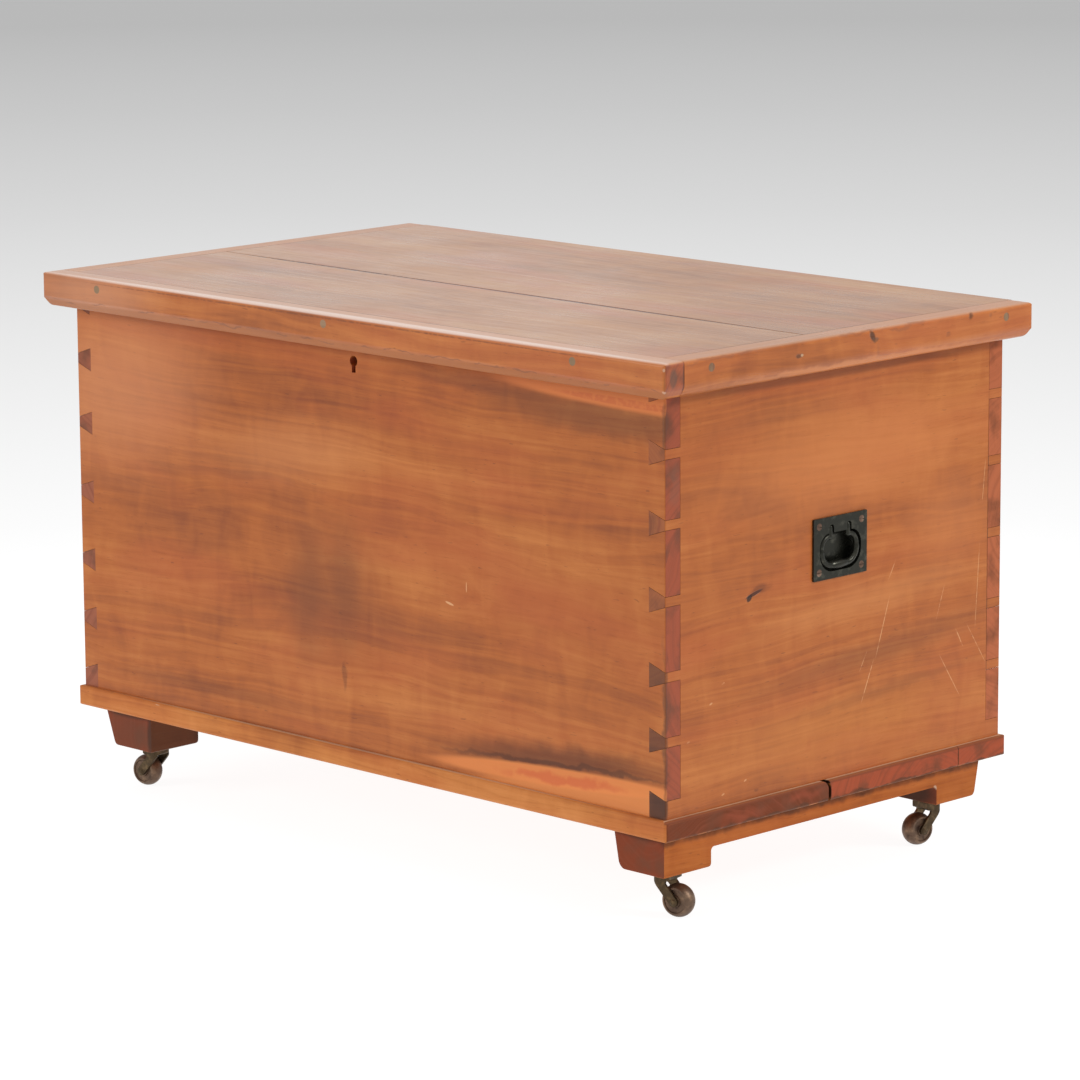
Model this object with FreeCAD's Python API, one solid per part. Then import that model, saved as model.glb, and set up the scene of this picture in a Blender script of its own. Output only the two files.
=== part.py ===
import FreeCAD, Part
import math
import os

# A dovetailed blanket chest on castors, every separate piece in a file of its own.
# Millimetres. X runs to the right, Y to the back and Z up, and the origin lies on the
# floor below the centre of the lid.

V = FreeCAD.Vector

# ---------------------------------------------------------------- driving dimensions

# Carcase: front and rear boards carry the tails, side boards carry the pins.
body_length = 1000.0
body_depth = 576.0
body_height = 500.0
front_thickness = 24.0          # front and rear boards
side_thickness = 25.0
arris_radius = 1.5              # softened upright corners

# Through dovetails, marked out by eye: each pin lies a little off its even spacing.
pin_wide = 28.0                 # on the inside
pin_narrow = 11.0               # at the outer face
half_pin_wide = 30.0
pin_offsets = (5.0, -4.0, -2.0, 1.0, -3.0)
dovetail_gap = 0.4              # the joints have opened this much with age

# Bottom boards, nailed up into the carcase from below.
bottom_thickness = 25.0
bottom_projection = 6.0
bottom_front_width = 272.0
bottom_middle_width = 226.0
shrinkage_gap = 4.0             # between the front and the middle board
slit_radius = 11.0              # the front board's rear arris, which the slit follows
tight_gap = 0.5                 # between the middle and the rear board
bottom_edge_radius = 4.0

# Bearers, each sawn from one piece with a foot at both ends.
bearer_height = 45.0
rail_height = 22.0
foot_length = 77.0
bearer_widths = {"left": 84.0, "right": 77.5}
bearer_right_inset = 8.0        # from the carcase side to the bearer's outer face
bearer_left_inset = 33.0
bearer_front_inset = 6.0        # from the carcase front
bearer_rear_inset = 26.0
foot_slopes = {"left": 16.0, "right": 8.5}      # how far the left side leans in at the foot
foot_radii = {"left": 8.0, "right": 12.0}
rear_slope = 9.0
rear_radius = 8.0
arch_radius = 5.0

# Castors: barrel wheel in a cast horn that turns on a riveted pintle.
castor_height = 57.0
wheel_diameter = 39.0
wheel_width = 19.0
wheel_crown = 3.6               # how much the tread falls away at its edges
hub_radius = 7.0
hub_gap = 0.4                   # hub end to cheek
castor_trail = 16.0
castor_front_inset = 45.0       # from the bearer's front end to the pintle
castor_rear_inset = 48.0
axle_diameter = 5.0
axle_head_height = 1.6
cheek_thickness = 3.0
horn_thickness = 12.0
horn_half_length = 11.7
horn_corner_radius = 7.0
horn_end_radius = 4.5
boss_radius = 5.4
cheek_lean = 4.5                # the cheek's centre line meets the head this far behind the pintle
pintle_diameter = 7.0
pintle_flange_radius = 15.0
pintle_flange_thickness = 2.0
pintle_shank_diameter = 8.0
pintle_shank_length = 38.0
running_clearance = 0.05
swivel_gap = 0.2
castor_angles = {"front_right": 12.0, "front_left": 187.0, "rear_right": 262.0, "rear_left": 30.0}

# Lid: two boards with a lipping along the front and both ends.
lid_thickness = 21.0
lip_thickness = 31.0
lip_drop = 20.0                 # how far the lipping hangs over the carcase
lip_side_overhang = 28.0
lip_front_overhang = 30.0
lid_rear_overhang = 20.0
lip_clearance = 1.5
lip_top_radius = 4.5
lip_bevel_in = 7.0
lip_bevel_up = 12.0
lip_bevel_upper = 12.0           # how softly the side lippings' bevels begin
lip_bevel_lower = 8.0            # and how softly they end underneath
lip_corner_radius = 4.0
lid_rear_radius = 3.0
lid_joint_left = 243.0          # front board's width at the left end of the joint
lid_joint_right = 227.0
lid_joint_gap = 2.0
lipping_gap = 0.5               # between the lipping and the lid boards
lip_end_radius = 6.0            # at the rear ends of the side lippings

# Butt hinges: leaves let into the rear board's edge and the lid.
hinge_inset = 132.5             # from each end of the carcase
hinge_length = 75.0
leaf_thickness = 2.0
leaf_depth = 20.0
leaf_gap = 0.05                 # from each leaf to the parting plane
knuckle_radius = 4.0
knuckle_count = 5
knuckle_gap = 0.3
knuckle_back_gap = 0.5
hinge_pin_radius = 2.0

# Lock, let into the inside of the front board.
lock_width = 92.0
lock_height = 60.0
lock_plate = 2.0
lock_case_width = 72.0
lock_case_depth = 10.0
lock_wall = 1.5
lock_cap_thickness = 1.2
selvedge_front = 10.0           # selvedge's front edge behind the front face
keyhole_drop = 36.3             # below the carcase rim
keyhole_radius = 6.3
keyhole_slot_width = 6.4
keyhole_slot_length = 13.7
bolt_thickness = 4.0
bolt_throw = 8.0
bolt_bar_height = 10.0
bolt_bar_drop = 15.0            # bar's top below the rim
tongue_height = 5.0
tongue_drop = 6.0
stud_radius = 1.5
key_pin_radius = 2.0
loop_spacing = 28.0
loop_thickness = 3.0
loop_width = 8.0
loop_drop = 14.0
loop_wall = 2.5
link_length = 72.0
link_width = 12.0
lock_clearance = 0.5

# Flush drop handles on both ends.
handle_height = 271.0           # plate's centre above the bottom boards
handle_plate_width = 91.0
handle_plate_height = 72.0
handle_plate_thickness = 2.5
pocket_width = 70.6
pocket_height = 45.0
pocket_drop = 5.2               # pocket's centre below the plate's
pocket_depth = 14.0
pocket_wall = 1.5
pocket_top_radius = 17.5
pocket_bottom_radius = 22.0
pocket_floor_radius = 9.0
bail_width = 60.0               # between the centre lines of the two sides
bail_arm_spacing = 30.0
bail_arm_radius = 3.4
bail_side_radius = 4.0
bail_grip_radius = 5.4
bail_drop = 44.0                # from the pivot to the grip
bail_shoulder = 10.5            # from the pivot down to the shoulders
bail_shoulder_radius = 13.0
bail_corner_radius = 17.0
bail_depth = 1.0                # centre line behind the board's face
pivot_rise = 22.8               # pivot above the plate's centre
trunnion_radius = 2.0
trunnion_length = 8.5
lug_width = 5.6
lug_depth = 6.5
bail_clearance = 0.5
mortise_clearance = 0.5

# Fixings.
handle_screw_inset = 9.3
handle_screw = (4.2, 2.1, 20.0)     # head radius, shank radius, length
hinge_rear_screw = (3.4, 1.7, 25.0)
hinge_lid_screw = (3.4, 1.7, 15.0)
lock_screw = (3.2, 1.6, 16.0)
link_screw = (3.2, 1.6, 14.0)
rail_screw = (4.5, 2.2, 38.0)
foot_screw = (4.5, 2.2, 62.0)
lip_screw = (4.0, 2.0, 44.0)
plug_radius = 5.0
plug_length = 6.0
front_plug_left = 103.0             # from the lid's left end
front_plug_middle = 19.0            # left of the centre
front_plug_right = 141.0            # from the lid's right end
side_plug_front = 75.0              # from the lid's front edge
side_plug_rear = 48.0               # from the lid's rear edge
plug_rise = 9.0                     # above the carcase rim
nail_length = 50.0
nail_width = 3.2
nail_thickness = 2.4
nail_head = 5.6
nail_head_thickness = 1.2
nails_along = 6
nail_end_margin = 60.0
nail_board_margin = 30.0

# ---------------------------------------------------------------- levels and edges

z_foot = castor_height
z_bottom = z_foot + bearer_height           # underside of the bottom boards
z_floor = z_bottom + bottom_thickness       # inside floor, and the carcase's lower edge
z_rim = z_floor + body_height
z_top = z_rim + lid_thickness
z_lip = z_rim - lip_drop

x_side = body_length / 2
x_inside = x_side - side_thickness
x_lid = x_side + lip_side_overhang
x_lid_board = x_lid - lip_thickness

lid_depth = lip_front_overhang + body_depth + lid_rear_overhang
y_lid_front = -lid_depth / 2
y_lid_rear = lid_depth / 2
y_front = y_lid_front + lip_front_overhang
y_rear = y_front + body_depth
y_middle = (y_front + y_rear) / 2
y_lid_board = y_lid_front + lip_thickness

nodes = {}


# ---------------------------------------------------------------- shape helpers

def box(x0, x1, y0, y1, z0, z1):
    return Part.makeBox(x1 - x0, y1 - y0, z1 - z0, V(x0, y0, z0))


def cylinder(radius, start, end):
    return Part.makeCylinder(radius, (end - start).Length, start, end - start)


def point(axis, along, u, v):
    """Place (u, v) in the plane across an axis: (y, z), (x, z) or (x, y)."""
    return {"X": V(along, u, v), "Y": V(u, along, v), "Z": V(u, v, along)}[axis]


def prism(corners, axis, start, end):
    """Extrude an outline of (u, v, radius) corners along an axis, its corners rounded."""
    count = len(corners)
    rounded = []
    for i, (u, v, radius) in enumerate(corners):
        here = V(u, v, 0)
        before = V(corners[i - 1][0], corners[i - 1][1], 0) - here
        after = V(corners[(i + 1) % count][0], corners[(i + 1) % count][1], 0) - here
        if radius <= 0:
            rounded.append((here, here, here))
            continue
        half = before.getAngle(after) / 2
        before.normalize()
        after.normalize()
        inward = (before + after).normalize()
        centre = here + inward * (radius / math.sin(half))
        reach = radius / math.tan(half)
        rounded.append((here + before * reach, centre - inward * radius, here + after * reach))
    edges = []
    for i in range(count):
        first, middle, last = [point(axis, start, p.x, p.y) for p in rounded[i]]
        following = point(axis, start, rounded[(i + 1) % count][0].x, rounded[(i + 1) % count][0].y)
        if (last - first).Length > 1e-6:
            edges.append(Part.Arc(first, middle, last).toShape())
        if (following - last).Length > 1e-6:
            edges.append(Part.LineSegment(last, following).toShape())
    face = Part.Face(Part.Wire(edges))
    return face.extrude(point(axis, end - start, 0, 0))


def rectangle(u0, u1, v0, v1, radius=0.0):
    return [(u0, v0, radius), (u1, v0, radius), (u1, v1, radius), (u0, v1, radius)]


def revolve(points, centre, direction):
    """Turn a closed (radius, height) outline about the line through centre."""
    wire = Part.makePolygon([V(r, 0, h) for r, h in points + points[:1]])
    solid = Part.Face(wire).revolve(V(0, 0, 0), V(0, 0, 1), 360)
    solid.Placement = FreeCAD.Placement(centre, FreeCAD.Rotation(V(0, 0, 1), direction))
    return solid


def common(*shapes):
    result = shapes[0]
    for shape in shapes[1:]:
        result = result.common(shape)
    return result


def as_solid(shape):
    """The single solid of a result, with needless seams taken out."""
    return shape.removeSplitter().Solids[0]


def group(solids):
    return Part.makeCompound(solids)


def wood_screw(size, head, direction, slot_angle=0.0):
    """A countersunk screw with its head's face at head, and the hole it fills."""
    head_radius, shank_radius, length = size
    cone = head_radius - shank_radius
    outline = [
        (0, 0),
        (head_radius, 0),
        (shank_radius, cone),
        (shank_radius, length * 0.75),
        (0, length),
    ]
    solid = revolve(outline, head, direction)
    slot = box(-head_radius, head_radius, -head_radius * 0.11, head_radius * 0.11, 0, cone * 0.5)
    slot.rotate(V(0, 0, 0), V(0, 0, 1), slot_angle)
    slot.Placement = FreeCAD.Placement(head, FreeCAD.Rotation(V(0, 0, 1), direction)) * slot.Placement
    return solid.cut(slot), solid


def drive(size, places, direction, name):
    """Make a group of like screws, and return the holes they need."""
    pairs = [wood_screw(size, place, direction, 37.0 * i) for i, place in enumerate(places)]
    nodes[name] = group([screw for screw, hole in pairs])
    return group([hole for screw, hole in pairs])


# ---------------------------------------------------------------- bottom boards and bearers

bottom_plan = rectangle(
    -x_side - bottom_projection, x_side + bottom_projection,
    y_front - bottom_projection, y_rear + bottom_projection, bottom_edge_radius)
bottom_section_y = rectangle(
    y_front - bottom_projection, y_rear + bottom_projection, z_bottom, z_floor, bottom_edge_radius)
bottom_section_x = rectangle(
    -x_side - bottom_projection, x_side + bottom_projection, z_bottom, z_floor, bottom_edge_radius)
bottom_reach = x_side + bottom_projection
bottom_blank = common(
    prism(bottom_section_y, "X", -bottom_reach, bottom_reach),
    prism(bottom_section_x, "Y", y_front - bottom_projection, y_rear + bottom_projection),
    prism(bottom_plan, "Z", z_bottom, z_floor))

y_gap = y_front - bottom_projection + bottom_front_width
y_tight = y_gap + shrinkage_gap + bottom_middle_width


def shrinkage_slit():
    """The open joint: upright below, curling forwards over the front board's rounded arris."""
    y_curl = y_gap - slit_radius
    z_curl = z_floor - slit_radius
    outer = slit_radius + shrinkage_gap
    mouth = math.asin(slit_radius / outer)

    def around(radius, angle):
        return point("X", -bottom_reach, y_curl + radius * math.cos(angle), z_curl + radius * math.sin(angle))

    below_front = point("X", -bottom_reach, y_gap, z_bottom - 1)
    below_rear = point("X", -bottom_reach, y_gap + shrinkage_gap, z_bottom - 1)
    above_front = point("X", -bottom_reach, y_curl, z_floor + 1)
    above_rear = point("X", -bottom_reach, y_curl + outer * math.cos(mouth), z_floor + 1)
    arris = Part.Arc(around(slit_radius, 0), around(slit_radius, math.pi / 4), around(slit_radius, math.pi / 2))
    hollow = Part.Arc(around(outer, 0), around(outer, mouth / 2), around(outer, mouth))
    edges = [
        Part.LineSegment(below_front, around(slit_radius, 0)), arris,
        Part.LineSegment(around(slit_radius, math.pi / 2), above_front),
        Part.LineSegment(above_front, above_rear),
        Part.LineSegment(above_rear, around(outer, mouth)), hollow,
        Part.LineSegment(around(outer, 0), below_rear),
        Part.LineSegment(below_rear, below_front),
    ]
    wire = Part.Wire(Part.__sortEdges__([edge.toShape() for edge in edges]))
    return Part.Face(wire).extrude(V(2 * bottom_reach, 0, 0))


bottom_front, bottom_rest = sorted(
    bottom_blank.cut(shrinkage_slit()).Solids, key=lambda solid: solid.CenterOfMass.y)
bottom_boards = {
    "bottom_board_front": bottom_front,
    "bottom_board_middle": bottom_rest.common(
        box(-bottom_reach, bottom_reach, y_front, y_tight, z_bottom, z_floor)),
    "bottom_board_rear": bottom_rest.common(box(
        -bottom_reach, bottom_reach, y_tight + tight_gap, y_rear + bottom_projection, z_bottom, z_floor)),
}

y_bearer_front = y_front + bearer_front_inset
y_bearer_rear = y_rear - bearer_rear_inset
z_arch = z_bottom - rail_height


def bearer(x_left, x_right, slope, radius):
    """A rail with a foot at both ends, its left side leaning in towards the floor."""
    side_view = [
        (y_bearer_front, z_bottom, 0),
        (y_bearer_front, z_foot, 1.5),
        (y_bearer_front + foot_length, z_foot, arch_radius),
        (y_bearer_front + foot_length, z_arch, arch_radius),
        (y_bearer_rear - foot_length, z_arch, arch_radius),
        (y_bearer_rear - foot_length, z_foot, 1.5),
        (y_bearer_rear - rear_slope, z_foot, rear_radius),
        (y_bearer_rear, z_bottom, 0),
    ]
    end_view = [
        (x_left, z_bottom, 0),
        (x_left + slope, z_foot, radius),
        (x_right, z_foot, 2.0),
        (x_right, z_bottom, 0),
    ]
    return common(
        prism(side_view, "X", x_left, x_right),
        prism(end_view, "Y", y_bearer_front, y_bearer_rear))


x_bearer_right = x_side - bearer_right_inset
x_bearer_left = -x_side + bearer_left_inset
bearer_spans = {
    "left": (x_bearer_left, x_bearer_left + bearer_widths["left"]),
    "right": (x_bearer_right - bearer_widths["right"], x_bearer_right),
}
bearers = {
    side: bearer(*span, foot_slopes[side], foot_radii[side])
    for side, span in bearer_spans.items()
}

# ---------------------------------------------------------------- carcase boards

carcase_plan = prism(rectangle(-x_side, x_side, y_front, y_rear, arris_radius), "Z", z_floor, z_rim)
pin_pitch = body_height / (len(pin_offsets) + 1)
pin_flare = (pin_wide - pin_narrow) / 2


def pin_sockets(y0, y1, gap):
    """The pins' wedges at both ends of a tail board, narrow at the outer face, with a gap all round."""
    narrow = pin_narrow / 2 + gap
    wide = pin_wide / 2 + gap
    wedges = []
    for x_out, x_in in ((-x_side, -x_inside), (x_side, x_inside)):
        for i, offset in enumerate(pin_offsets):
            z = z_floor + pin_pitch * (i + 1) + offset
            wedges.append([
                (x_out, z - narrow, 0), (x_out, z + narrow, 0),
                (x_in, z + wide, 0), (x_in, z - wide, 0)])
        for z_edge, up in ((z_floor, 1), (z_rim, -1)):
            wedges.append([
                (x_out, z_edge, 0), (x_out, z_edge + up * (half_pin_wide - pin_flare + gap), 0),
                (x_in, z_edge + up * (half_pin_wide + gap), 0), (x_in, z_edge, 0)])
    return group([prism(wedge, "Y", y0, y1) for wedge in wedges])


def tail_board(y0, y1, gap):
    board = box(-x_side, x_side, y0, y1, z_floor, z_rim).common(carcase_plan)
    return board.cut(pin_sockets(y0, y1, gap))


front_span = (y_front, y_front + front_thickness)
rear_span = (y_rear - front_thickness, y_rear)
front_board = tail_board(*front_span, dovetail_gap)
rear_board = tail_board(*rear_span, dovetail_gap)
tails = group([
    tail_board(y_front, y_front + front_thickness + dovetail_gap, 0.0),
    tail_board(y_rear - front_thickness - dovetail_gap, y_rear, 0.0)])
pin_boards = {}
for side, x0, x1 in (("left", -x_side, -x_inside), ("right", x_inside, x_side)):
    board = box(x0, x1, y_front, y_rear, z_floor, z_rim).common(carcase_plan)
    pin_boards[side] = board.cut(tails)

# ---------------------------------------------------------------- lid

lip_profile_front = [
    (y_lid_front, z_top, lip_top_radius),
    (y_lid_front, z_lip + lip_bevel_up, 3.0),
    (y_lid_front + lip_bevel_in, z_lip, 2.0),
    (y_lid_rear - lip_bevel_in, z_lip, lip_bevel_lower),
    (y_lid_rear, z_lip + lip_bevel_up, lip_bevel_upper),
    (y_lid_rear, z_top, lip_end_radius),
]
lip_profile_sides = [
    (-x_lid, z_top, lip_top_radius),
    (-x_lid, z_lip + lip_bevel_up, lip_bevel_upper),
    (-x_lid + lip_bevel_in, z_lip, lip_bevel_lower),
    (x_lid - lip_bevel_in, z_lip, lip_bevel_lower),
    (x_lid, z_lip + lip_bevel_up, lip_bevel_upper),
    (x_lid, z_top, lip_top_radius),
]
lid_blank = common(
    prism(lip_profile_front, "X", -x_lid, x_lid),
    prism(lip_profile_sides, "Y", y_lid_front, y_lid_rear),
    prism([
        (-x_lid, y_lid_front, lip_corner_radius),
        (x_lid, y_lid_front, lip_corner_radius),
        (x_lid, y_lid_rear, lid_rear_radius),
        (-x_lid, y_lid_rear, lid_rear_radius),
    ], "Z", z_lip, z_top))
lip_rebate = box(
    -x_side - lip_clearance, x_side + lip_clearance,
    y_front - lip_clearance, y_lid_rear, z_lip, z_rim)
lipping_front = lid_blank.common(
    box(-x_lid, x_lid, y_lid_front, y_lid_board, z_lip, z_top)).cut(lip_rebate)
y_lipping = y_lid_board + lipping_gap
lippings = {
    "left": lid_blank.common(
        box(-x_lid, -x_lid_board, y_lipping, y_lid_rear, z_lip, z_top)).cut(lip_rebate),
    "right": lid_blank.common(
        box(x_lid_board, x_lid, y_lipping, y_lid_rear, z_lip, z_top)).cut(lip_rebate),
}
x_lid_inner = x_lid_board - lipping_gap


def lid_board(corners):
    """One lid board; its rear edges are eased above and below where it has any."""
    flat = prism([(x, y, 0) for x, y in corners], "Z", z_rim, z_top)
    section = [
        (y_lipping, z_rim, 0),
        (y_lid_rear, z_rim, lid_rear_radius),
        (y_lid_rear, z_top, lid_rear_radius),
        (y_lipping, z_top, 0),
    ]
    return flat.common(prism(section, "X", -x_lid_inner, x_lid_inner))


y_joint_left = y_lid_board + lid_joint_left
y_joint_right = y_lid_board + lid_joint_right
lid_board_front = lid_board([
    (-x_lid_inner, y_lipping), (x_lid_inner, y_lipping),
    (x_lid_inner, y_joint_right), (-x_lid_inner, y_joint_left)])
lid_board_rear = lid_board([
    (-x_lid_inner, y_joint_left + lid_joint_gap), (x_lid_inner, y_joint_right + lid_joint_gap),
    (x_lid_inner, y_lid_rear), (-x_lid_inner, y_lid_rear)])

# ---------------------------------------------------------------- hinges

y_pivot = y_rear + knuckle_radius + knuckle_back_gap
leaf_holes_rear = []
leaf_holes_lid = []
hinge_pins = []
knuckle_length = hinge_length / knuckle_count


def knuckles(x0, owned, radius, spare):
    """Barrel lengths of one leaf, longer by spare at each end."""
    lengths = []
    for i in range(knuckle_count):
        if (i % 2 == 0) == owned:
            start = V(x0 + i * knuckle_length - spare, y_pivot, z_rim)
            end = V(x0 + (i + 1) * knuckle_length + spare, y_pivot, z_rim)
            lengths.append(cylinder(radius, start, end))
    return group(lengths)


def hinge_leaf(x0, fixed):
    """A leaf with its knuckles, bored for the pin."""
    z0, z1 = (z_rim - leaf_thickness, z_rim - leaf_gap) if fixed else (z_rim + leaf_gap, z_rim + leaf_thickness)
    plate = box(x0, x0 + hinge_length, y_rear - leaf_depth, y_pivot, z0, z1)
    leaf = plate.fuse(knuckles(x0, fixed, knuckle_radius, -knuckle_gap / 2).Solids)
    leaf = leaf.cut(knuckles(x0, not fixed, knuckle_radius + knuckle_gap, knuckle_gap / 2))
    bore = hinge_pin_radius + (0.0 if fixed else running_clearance)
    return leaf.cut(cylinder(bore, V(x0 - 1, y_pivot, z_rim), V(x0 + hinge_length + 1, y_pivot, z_rim)))


hinge_starts = {
    "left": -x_side + hinge_inset,
    "right": x_side - hinge_inset - hinge_length,
}
fixed_leaves = {}
lid_leaves = {}
rear_screw_places = []
lid_screw_places = []
for side, x0 in hinge_starts.items():
    x1 = x0 + hinge_length
    fixed_leaves[side] = hinge_leaf(x0, True)
    lid_leaves[side] = hinge_leaf(x0, False)
    hinge_pins.append(cylinder(
        hinge_pin_radius, V(x0 + knuckle_gap / 2, y_pivot, z_rim), V(x1 - knuckle_gap / 2, y_pivot, z_rim)))
    rear_board = rear_board.cut(box(x0, x1, y_rear - leaf_depth, y_rear, z_rim - leaf_thickness, z_rim))
    groove = knuckle_radius + knuckle_back_gap
    lid_board_rear = lid_board_rear.cut(
        box(x0, x1, y_rear - leaf_depth, y_pivot, z_rim, z_rim + leaf_thickness))
    lid_board_rear = lid_board_rear.cut(
        cylinder(groove, V(x0 - knuckle_gap, y_pivot, z_rim), V(x1 + knuckle_gap, y_pivot, z_rim)))
    for along in (0.15, 0.5, 0.85):
        x = x0 + hinge_length * along
        rear_screw_places.append(V(x, y_rear - leaf_depth / 2, z_rim - leaf_gap))
        lid_screw_places.append(V(x, y_rear - leaf_depth / 2, z_rim + leaf_gap))
rear_screw_holes = drive(hinge_rear_screw, rear_screw_places, V(0, 0, -1), "hinge_screws_rear")
lid_screw_holes = drive(hinge_lid_screw, lid_screw_places, V(0, 0, 1), "hinge_screws_lid")
rear_board = rear_board.cut(rear_screw_holes)
lid_board_rear = lid_board_rear.cut(lid_screw_holes)
for side in hinge_starts:
    nodes["hinge_leaf_rear_" + side] = fixed_leaves[side].cut(rear_screw_holes)
    nodes["hinge_leaf_lid_" + side] = lid_leaves[side].cut(lid_screw_holes)
nodes["hinge_pins"] = group(hinge_pins)

# ---------------------------------------------------------------- lock

y_inside = y_front + front_thickness
y_case = y_inside - lock_plate - lock_case_depth
y_case_back = y_inside - lock_plate
x_case = lock_case_width / 2
z_keyhole = z_rim - keyhole_drop
z_case = z_rim - lock_height + lock_plate
y_bolt = y_case + lock_cap_thickness + (lock_case_depth - lock_cap_thickness - bolt_thickness) / 2


def keyhole(y0, y1):
    """The keyhole's round head and slot as a cutting tool."""
    head = cylinder(keyhole_radius, V(0, y0, z_keyhole), V(0, y1, z_keyhole))
    half = keyhole_slot_width / 2
    slot = box(-half, half, y0, y1, z_keyhole - keyhole_slot_length, z_keyhole)
    return head.fuse(slot)


selvedge = box(-lock_width / 2, lock_width / 2, y_front + selvedge_front, y_inside, z_rim - lock_plate, z_rim)
back_plate = box(-lock_width / 2, lock_width / 2, y_case_back, y_inside, z_rim - lock_height, z_rim)
case_outer = box(-x_case, x_case, y_case, y_case_back, z_case, z_rim - lock_plate)
case_inner = box(
    -x_case + lock_wall, x_case - lock_wall, y_case, y_case_back, z_case + lock_wall, z_rim - lock_plate)
front_board = front_board.cut(selvedge).cut(back_plate).cut(case_outer).cut(keyhole(y_front, y_case))

loop_places = (-loop_spacing / 2, loop_spacing / 2)
y_loop = y_bolt + bolt_thickness / 2 - loop_width / 2
loop_slots = group([
    box(x - loop_thickness / 2 - lock_clearance, x + loop_thickness / 2 + lock_clearance,
        y_loop - 0.3, y_loop + loop_width + 0.3, z_rim - lock_plate, z_rim)
    for x in loop_places])

# The bolt: two tongues on uprights above one bar, drawn back clear of the loops.
tongue_gap = 1.0
tongue_tips = [x - loop_thickness / 2 - tongue_gap for x in loop_places]
upright_right = [x - loop_thickness / 2 - bolt_throw - lock_clearance for x in loop_places]
upright_width = 4.0
z_bar_top = z_rim - bolt_bar_drop
z_bar = z_bar_top - bolt_bar_height
z_tongue_top = z_rim - tongue_drop
bar_left = upright_right[0] - upright_width
bar_right = upright_right[1] + upright_width
bolt = box(bar_left, bar_right, y_bolt, y_bolt + bolt_thickness, z_bar, z_bar_top)
for tip, right in zip(tongue_tips, upright_right):
    bolt = bolt.fuse(box(
        right - upright_width, right, y_bolt, y_bolt + bolt_thickness, z_bar_top, z_tongue_top))
    bolt = bolt.fuse(box(
        right, tip, y_bolt, y_bolt + bolt_thickness, z_tongue_top - tongue_height, z_tongue_top))
talon_width = 10.0
talon_depth = 4.0
talon_centre = -bolt_throw / 2
bolt = bolt.cut(box(
    talon_centre - talon_width / 2, talon_centre + talon_width / 2,
    y_bolt, y_bolt + bolt_thickness, z_bar, z_bar + talon_depth))
stud_clearance = 0.1
x_stud = (bar_left + talon_centre - talon_width / 2 + bolt_throw) / 2
z_stud = z_bar + bolt_bar_height / 2
stud_slot = prism(rectangle(
    x_stud - bolt_throw - stud_radius - stud_clearance, x_stud + stud_radius + stud_clearance,
    z_stud - stud_radius - stud_clearance, z_stud + stud_radius + stud_clearance,
    (stud_radius + stud_clearance) * 0.98), "Y", y_bolt, y_bolt + bolt_thickness)
nodes["lock_bolt"] = as_solid(bolt.cut(stud_slot))

stud = cylinder(stud_radius, V(x_stud, y_bolt - 0.8, z_stud), V(x_stud, y_case_back, z_stud))
stud_collar = cylinder(stud_radius * 2, V(x_stud, y_bolt + bolt_thickness + stud_clearance, z_stud),
                       V(x_stud, y_case_back, z_stud))
key_pin = cylinder(key_pin_radius, V(0, y_case + lock_cap_thickness, z_keyhole), V(0, y_case_back, z_keyhole))
fence = box(-x_case + lock_wall, bar_left + upright_width + bolt_throw, y_bolt, y_case_back,
            z_bar - lock_wall - stud_clearance, z_bar - stud_clearance)
lock_screw_places = [
    V(x * (lock_width + lock_case_width) / 4, y_inside, z_rim - z)
    for x in (-1, 1) for z in (lock_height * 0.2, lock_height * 0.83)]
lock_screw_holes = drive(lock_screw, lock_screw_places, V(0, -1, 0), "lock_screws")
lock_case = case_outer.cut(case_inner).fuse([selvedge, back_plate, stud, stud_collar, key_pin, fence])
nodes["lock_case"] = as_solid(lock_case.cut(loop_slots).cut(lock_screw_holes))
nodes["lock_cap"] = as_solid(box(
    -x_case + lock_wall, x_case - lock_wall, y_case, y_case + lock_cap_thickness,
    z_case + lock_wall, z_rim - lock_plate).cut(keyhole(y_case, y_inside)))
front_board = front_board.cut(lock_screw_holes)

# The link plate on the lid, whose loops drop through the selvedge.
y_link = y_loop + loop_width / 2 - link_width / 2
link_plate = box(-link_length / 2, link_length / 2, y_link, y_link + link_width, z_rim, z_rim + lock_plate)
for x in loop_places:
    link_plate = link_plate.fuse(box(
        x - loop_thickness / 2, x + loop_thickness / 2, y_loop, y_loop + loop_width,
        z_rim - loop_drop, z_rim))
    link_plate = link_plate.cut(box(
        x - loop_thickness / 2, x + loop_thickness / 2, y_loop + (loop_width - bolt_thickness) / 2 - 1,
        y_loop + (loop_width + bolt_thickness) / 2 + 1, z_rim - loop_drop + loop_wall,
        z_tongue_top + lock_clearance))
link_screw_places = [V(x * (link_length / 2 - 8), y_link + link_width / 2, z_rim) for x in (-1, 1)]
link_screw_holes = drive(link_screw, link_screw_places, V(0, 0, 1), "link_plate_screws")
nodes["lock_link_plate"] = as_solid(link_plate.cut(link_screw_holes))
lid_board_front = lid_board_front.cut(
    box(-link_length / 2, link_length / 2, y_link, y_link + link_width, z_rim, z_rim + lock_plate))
lid_board_front = lid_board_front.cut(link_screw_holes)

# ---------------------------------------------------------------- flush handles


def pocket_outline(spare):
    """The pocket's outline, grown all round by spare: flatter above, rounder below."""
    u = pocket_width / 2 + spare
    v0 = -pocket_drop - pocket_height / 2 - spare
    v1 = -pocket_drop + pocket_height / 2 + spare
    low = min(pocket_bottom_radius + spare, pocket_height / 2 + spare - 0.1)
    high = min(pocket_top_radius + spare, pocket_height / 2 + spare - 0.1)
    return [(-u, v0, low), (u, v0, low), (u, v1, high), (-u, v1, high)]


def soften_floor(solid, x, radius):
    """Round the edge where a pocket's wall meets its floor at x."""
    edges = [e for e in solid.Edges if all(abs(p.Point.x - x) < 1e-6 for p in e.Vertexes)]
    return solid.makeFillet(radius, edges)


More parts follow.
